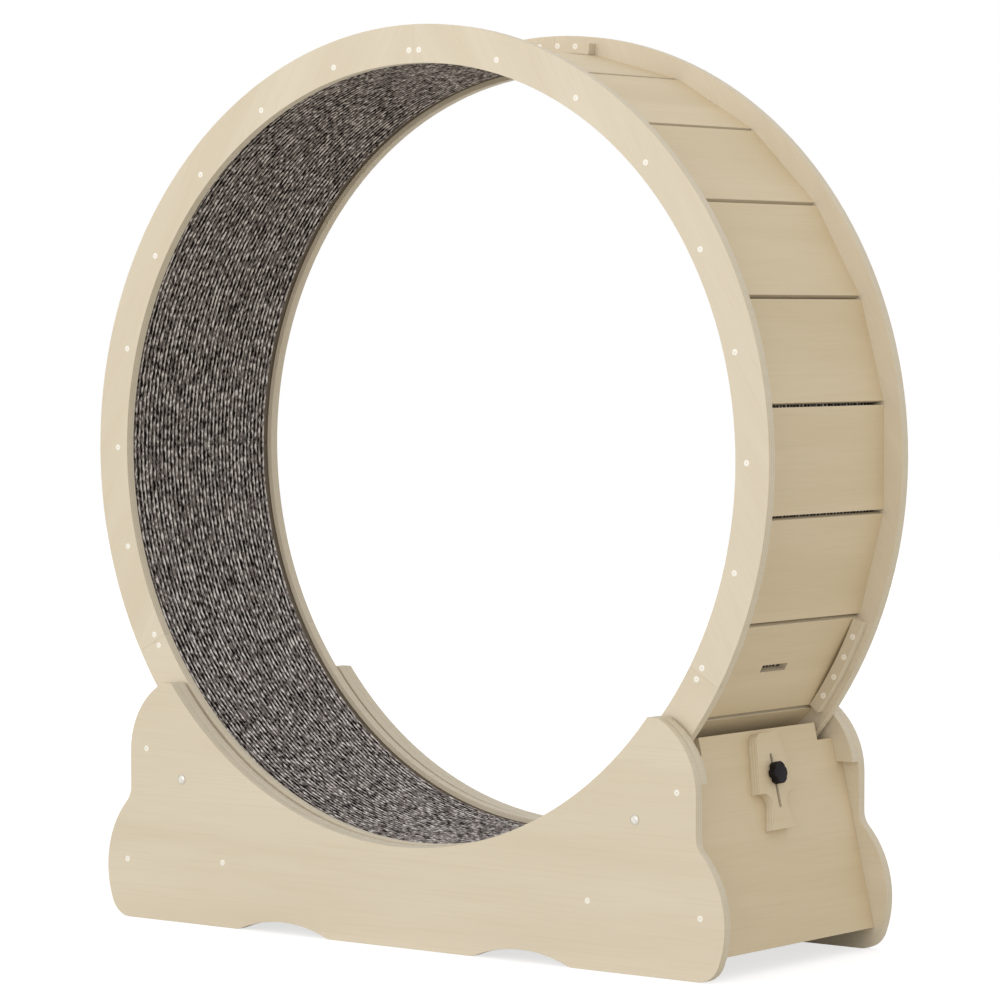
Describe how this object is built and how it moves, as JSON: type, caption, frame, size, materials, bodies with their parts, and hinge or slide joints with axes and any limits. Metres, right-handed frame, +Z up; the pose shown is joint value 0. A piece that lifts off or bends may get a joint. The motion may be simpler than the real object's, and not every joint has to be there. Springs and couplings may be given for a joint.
{
  "type": "cat exercise wheel",
  "caption": "Cat exercise wheel: a carpeted plywood drum on grooved rollers in a base with leaning ends, with a sliding lock held by a knob.",
  "frame": {"origin": "middle of the base on the floor, under the drum's axis", "axes": "+X towards the end with the lock, +Y to the back along the drum's axis, +Z up"},
  "size_m": [1, 0.3448, 1.074],
  "materials": {
    "plywood": "pale plywood under clear matt lacquer",
    "carpet": "ribbed loop-pile carpet, dark grey-brown",
    "nylon": "moulded grey nylon",
    "steel": "zinc-plated steel",
    "black_plastic": "moulded black plastic"
  },
  "bodies": {
    "base": {"front_side_panel": "plywood", "back_side_panel": "plywood", "front_liner": "plywood", "back_liner": "plywood", "left_end_panel": "plywood", "right_end_panel": "plywood", "left_cross_rail": "plywood", "right_cross_rail": "plywood", "roller_axles": "steel", "roller_spacers": "steel", "roller_nuts": "steel", "lock_bolt": "steel", "lock_washer": "steel"},
    "drum": {"back_ring_bottom": "plywood", "back_ring_left": "plywood", "back_ring_right": "plywood", "front_ring_bottom": "plywood", "front_ring_left": "plywood", "front_ring_right": "plywood", "back_splice_plate_left": "plywood", "back_splice_plate_right": "plywood", "back_splice_plate_top": "plywood", "front_splice_plate_left": "plywood", "front_splice_plate_right": "plywood", "front_splice_plate_top": "plywood", "slat_01": "plywood", "slat_02": "plywood", "slat_03": "plywood", "slat_04": "plywood", "slat_05": "plywood", "slat_06": "plywood", "slat_07": "plywood", "slat_08": "plywood", "slat_09": "plywood", "slat_10": "plywood", "slat_11": "plywood", "slat_12": "plywood", "slat_13": "plywood", "slat_14": "plywood", "slat_15": "plywood", "slat_16": "plywood", "slat_17": "plywood", "slat_18": "plywood", "slat_19": "plywood", "slat_20": "plywood", "slat_21": "plywood", "slat_22": "plywood", "slat_23": "plywood", "slat_24": "plywood", "carpet_lining": "carpet"},
    "front_left_roller_body": {"front_left_roller": "nylon", "front_left_bearings": "steel"},
    "front_right_roller_body": {"front_right_roller": "nylon", "front_right_bearings": "steel"},
    "back_left_roller_body": {"back_left_roller": "nylon", "back_left_bearings": "steel"},
    "back_right_roller_body": {"back_right_roller": "nylon", "back_right_bearings": "steel"},
    "lock_slider": {"lock_slider": "plywood"},
    "lock_knob": {"lock_knob": "black_plastic"}
  },
  "joints": [
    {"name": "drum_spin", "type": "hinge", "parent": "base", "child": "drum", "pos_m": [0, 0, 0.574], "axis": [0, 1, 0], "continuous": true},
    {"name": "front_left_roller_spin", "type": "hinge", "parent": "base", "child": "front_left_roller_body", "pos_m": [-0.34, -0.135, 0.1745], "axis": [0, 1, 0], "continuous": true},
    {"name": "front_right_roller_spin", "type": "hinge", "parent": "base", "child": "front_right_roller_body", "pos_m": [0.34, -0.135, 0.1745], "axis": [0, 1, 0], "continuous": true},
    {"name": "back_left_roller_spin", "type": "hinge", "parent": "base", "child": "back_left_roller_body", "pos_m": [-0.34, 0.135, 0.1745], "axis": [0, 1, 0], "continuous": true},
    {"name": "back_right_roller_spin", "type": "hinge", "parent": "base", "child": "back_right_roller_body", "pos_m": [0.34, 0.135, 0.1745], "axis": [0, 1, 0], "continuous": true},
    {"name": "lock_slide", "type": "slide", "parent": "base", "child": "lock_slider", "axis": [-0.2297, 0, 0.9733], "range_m": [-0.02, 0.026]},
    {"name": "knob_turn", "type": "hinge", "parent": "base", "child": "lock_knob", "pos_m": [0.40048, 0, 0.2141], "axis": [0.9733, 0, 0.2297], "range_deg": [0, 360]}
  ],
  "couplings": [
    {"joint": "front_left_roller_spin", "follows": "drum_spin", "ratio": -20.576},
    {"joint": "front_right_roller_spin", "follows": "drum_spin", "ratio": -20.576},
    {"joint": "back_left_roller_spin", "follows": "drum_spin", "ratio": -20.576},
    {"joint": "back_right_roller_spin", "follows": "drum_spin", "ratio": -20.576}
  ]
}
